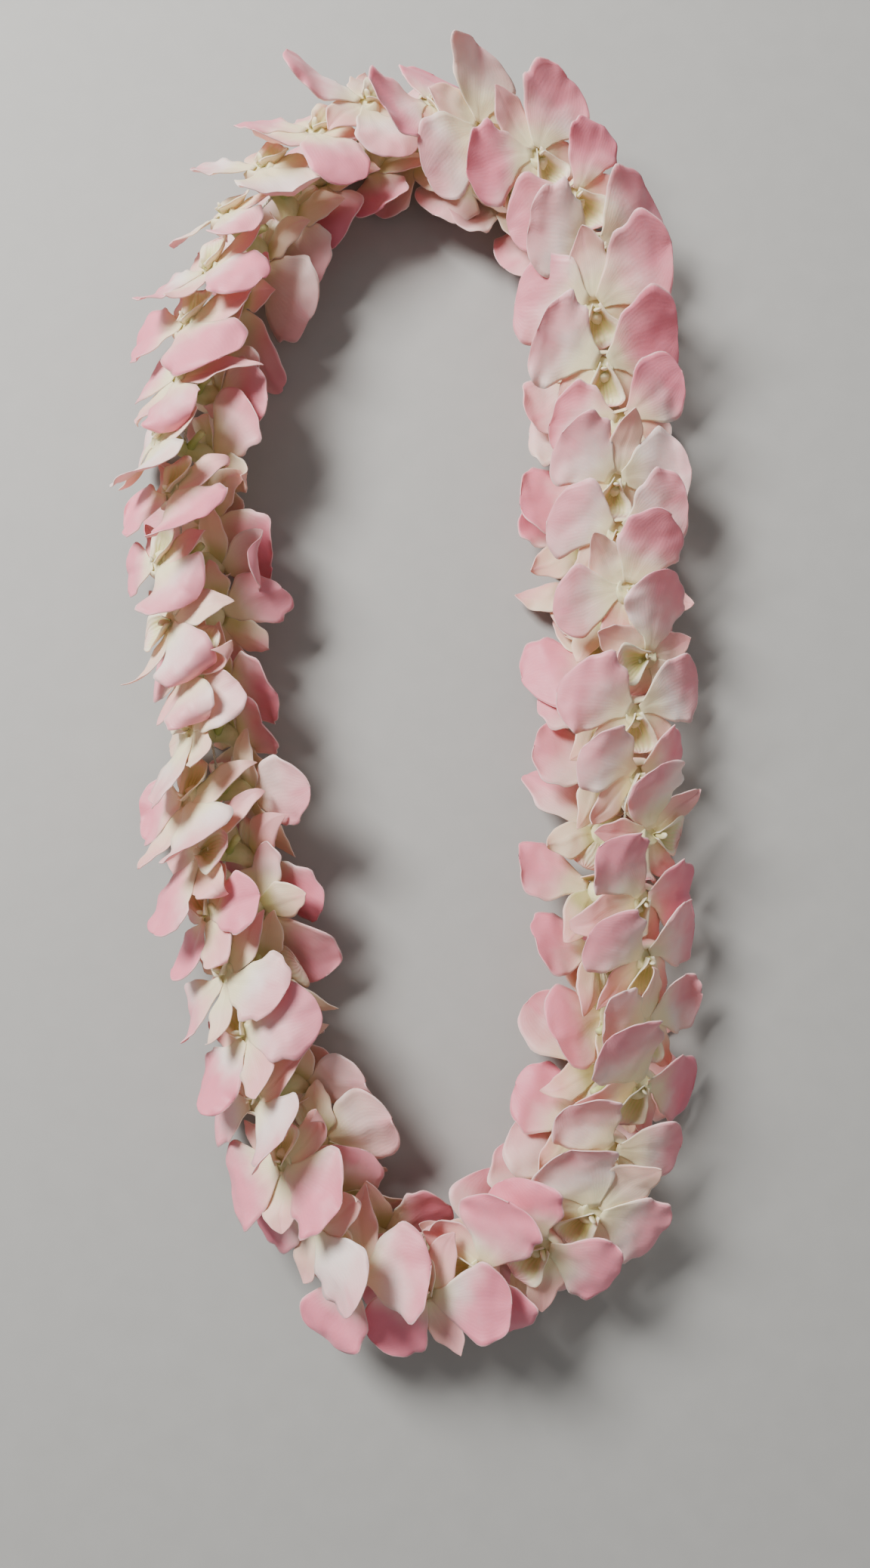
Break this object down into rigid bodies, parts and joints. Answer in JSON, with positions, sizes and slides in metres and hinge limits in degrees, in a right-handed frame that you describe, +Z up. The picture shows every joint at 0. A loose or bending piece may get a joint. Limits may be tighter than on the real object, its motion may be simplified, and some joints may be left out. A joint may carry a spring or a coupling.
{
  "type": "orchid lei",
  "caption": "Double orchid lei laid flat: paired dendrobium blooms overlap like shingles on a closed loop of cotton thread, to wear round the neck or drape as a garland.",
  "frame": {"origin": "the middle of the lei's outline, on the table it lies on", "axes": "+Z up from the table; +Y along the lei's length, towards the wider end; +X across it to the right"},
  "size_m": [0.2212, 0.499, 0.0584],
  "materials": {
    "orchid_petal": "fresh matt petal, pink to cream",
    "cotton_thread": "twisted cotton, matt"
  },
  "bodies": {
    "root": {"bloom_pair_01": "orchid_petal", "bloom_pair_02": "orchid_petal", "bloom_pair_03": "orchid_petal", "bloom_pair_04": "orchid_petal", "bloom_pair_05": "orchid_petal", "bloom_pair_06": "orchid_petal", "bloom_pair_07": "orchid_petal", "bloom_pair_08": "orchid_petal", "bloom_pair_09": "orchid_petal", "bloom_pair_10": "orchid_petal", "bloom_pair_11": "orchid_petal", "bloom_pair_12": "orchid_petal", "bloom_pair_13": "orchid_petal", "bloom_pair_14": "orchid_petal", "bloom_pair_15": "orchid_petal", "bloom_pair_16": "orchid_petal", "bloom_pair_17": "orchid_petal", "bloom_pair_18": "orchid_petal", "bloom_pair_19": "orchid_petal", "bloom_pair_20": "orchid_petal", "bloom_pair_21": "orchid_petal", "bloom_pair_22": "orchid_petal", "bloom_pair_23": "orchid_petal", "bloom_pair_24": "orchid_petal", "bloom_pair_25": "orchid_petal", "bloom_pair_26": "orchid_petal", "bloom_pair_27": "orchid_petal", "bloom_pair_28": "orchid_petal", "bloom_pair_29": "orchid_petal", "bloom_pair_30": "orchid_petal", "bloom_pair_31": "orchid_petal", "bloom_pair_32": "orchid_petal", "bloom_pair_33": "orchid_petal", "bloom_pair_34": "orchid_petal", "bloom_pair_35": "orchid_petal", "bloom_pair_36": "orchid_petal", "bloom_pair_37": "orchid_petal", "bloom_pair_38": "orchid_petal", "bloom_pair_39": "orchid_petal", "bloom_pair_40": "orchid_petal", "bloom_pair_41": "orchid_petal", "bloom_pair_42": "orchid_petal", "bloom_pair_43": "orchid_petal", "bloom_pair_44": "orchid_petal", "bloom_pair_45": "orchid_petal", "bloom_pair_46": "orchid_petal", "thread": "cotton_thread"}
  },
  "joints": []
}
